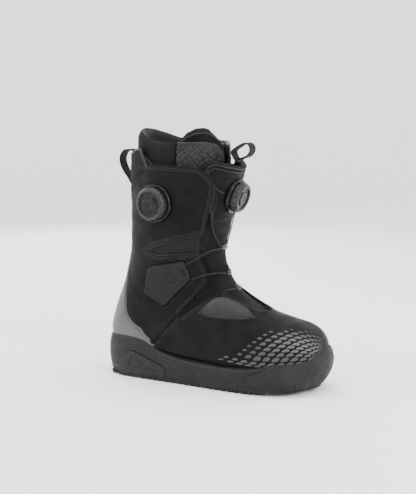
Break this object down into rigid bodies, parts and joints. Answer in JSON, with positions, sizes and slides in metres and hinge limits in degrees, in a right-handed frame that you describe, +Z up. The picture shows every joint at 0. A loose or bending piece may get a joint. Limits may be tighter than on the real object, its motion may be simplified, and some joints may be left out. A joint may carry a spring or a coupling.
{
  "type": "snowboard boot",
  "caption": "Right-foot snowboard boot with two lace dials, a tilting outer tongue, a padded liner and a lugged rubber sole.",
  "frame": {"origin": "middle of the footprint's bounding box, on the ground under the tread", "axes": "+X towards the toe, +Y towards the medial side (the wearer's left), +Z up the shaft"},
  "size_m": [0.3032, 0.1256, 0.3196],
  "materials": {
    "rubber": "matte moulded rubber, slightly worn on the lugs",
    "foam": "satin moulded foam with fine ribs",
    "nubuck": "matte synthetic nubuck with stitched edges",
    "counter_plastic": "satin moulded film",
    "mesh": "open mesh cloth",
    "lining_cloth": "laminated lining cloth",
    "board": "fibre board",
    "plate_plastic": "satin injection moulded plastic",
    "canvas": "plain weave canvas",
    "webbing": "woven tape",
    "liner_cloth": "foam backed knit with an embossed pattern",
    "dial_plastic": "polished nylon",
    "dial_grip": "moulded rubber ring",
    "nylon": "glass filled nylon",
    "steel": "plated steel",
    "lace_wire": "coated steel cord"
  },
  "bodies": {
    "shell": {"outsole_heel": "rubber", "outsole_forefoot": "rubber", "midsole": "foam", "footbed": "foam", "vamp": "nubuck", "cuff_panel_lateral": "nubuck", "cuff_panel_medial": "nubuck", "heel_counter": "counter_plastic", "ankle_vent_lateral": "mesh", "ankle_vent_medial": "mesh", "flex_gusset_lateral": "mesh", "flex_gusset_medial": "mesh", "upper_lining": "lining_cloth", "lasting_board": "board", "ankle_plate_lateral": "plate_plastic", "ankle_plate_medial": "plate_plastic", "back_collar": "canvas", "tongue_instep": "canvas", "tongue_wing_lateral": "canvas", "tongue_wing_medial": "canvas", "rear_pull_loop": "webbing", "liner_foot": "liner_cloth", "liner_collar": "liner_cloth", "liner_wrap_lateral": "liner_cloth", "liner_wrap_medial": "liner_cloth", "liner_tongue": "liner_cloth", "side_dial_base": "dial_plastic", "tongue_guide_ankle": "dial_plastic", "tongue_guide_instep": "dial_plastic", "cuff_guide_lateral": "dial_plastic", "cuff_guide_medial": "dial_plastic", "instep_guide_lateral": "dial_plastic", "instep_guide_medial": "dial_plastic", "side_ratchet_ring": "nylon", "shank": "steel", "lace_ankle_lateral": "lace_wire", "lace_ankle_medial": "lace_wire", "lace_instep_lateral": "lace_wire", "lace_instep_medial": "lace_wire"},
    "tongue": {"tongue_shin": "canvas", "tongue_plate": "nubuck", "tongue_rim": "webbing", "tongue_guide_shin": "dial_plastic", "front_dial_base": "dial_plastic", "front_ratchet_ring": "nylon", "front_pull_loop": "webbing", "lace_cuff_lateral": "lace_wire", "lace_cuff_medial": "lace_wire", "lace_harness_lateral": "lace_wire", "lace_harness_medial": "lace_wire", "lace_dial_lateral": "lace_wire", "lace_dial_medial": "lace_wire"},
    "side_knob_lift": {"side_dial_axle": "steel"},
    "side_knob": {"side_knob_grip": "dial_grip", "side_knob_cap": "dial_plastic"},
    "side_spool": {"side_lace_spool": "nylon"},
    "front_knob_lift": {"front_dial_axle": "steel"},
    "front_knob": {"front_knob_grip": "dial_grip", "front_knob_cap": "dial_plastic"},
    "front_spool": {"front_lace_spool": "nylon"}
  },
  "joints": [
    {"name": "tongue_tilt", "type": "hinge", "parent": "shell", "child": "tongue", "pos_m": [0.0121, 0.0055, 0.1485], "axis": [0, 1, 0], "range_deg": [0, 25], "stiffness_Nm_per_rad": 0.6, "springref_deg": -6.88, "deforming": ["tongue_wing_lateral", "tongue_wing_medial", "lace_cuff_lateral", "lace_cuff_medial", "lace_harness_lateral", "lace_harness_medial", "lace_dial_lateral", "lace_dial_medial"]},
    {"name": "side_dial_pull", "type": "slide", "parent": "shell", "child": "side_knob_lift", "axis": [-0.1194, -0.9911, -0.0586], "range_m": [0, 0.003]},
    {"name": "side_dial_turn", "type": "hinge", "parent": "side_knob_lift", "child": "side_knob", "pos_m": [-0.05906, -0.04827, 0.22719], "axis": [-0.1194, -0.9911, -0.0586], "continuous": true},
    {"name": "side_spool_turn", "type": "hinge", "parent": "shell", "child": "side_spool", "pos_m": [-0.05906, -0.04827, 0.22719], "axis": [-0.1194, -0.9911, -0.0586], "continuous": true},
    {"name": "front_dial_pull", "type": "slide", "parent": "tongue", "child": "front_knob_lift", "axis": [0.9543, 0, -0.2989], "range_m": [0, 0.003]},
    {"name": "front_dial_turn", "type": "hinge", "parent": "front_knob_lift", "child": "front_knob", "pos_m": [0.02495, 0.00548, 0.23607], "axis": [0.9543, 0, -0.2989], "continuous": true},
    {"name": "front_spool_turn", "type": "hinge", "parent": "tongue", "child": "front_spool", "pos_m": [0.02495, 0.00548, 0.23607], "axis": [0.9543, 0, -0.2989], "continuous": true}
  ],
  "couplings": [
    {"joint": "side_spool_turn", "follows": "side_dial_turn", "ratio": 1},
    {"joint": "front_spool_turn", "follows": "front_dial_turn", "ratio": 1}
  ]
}
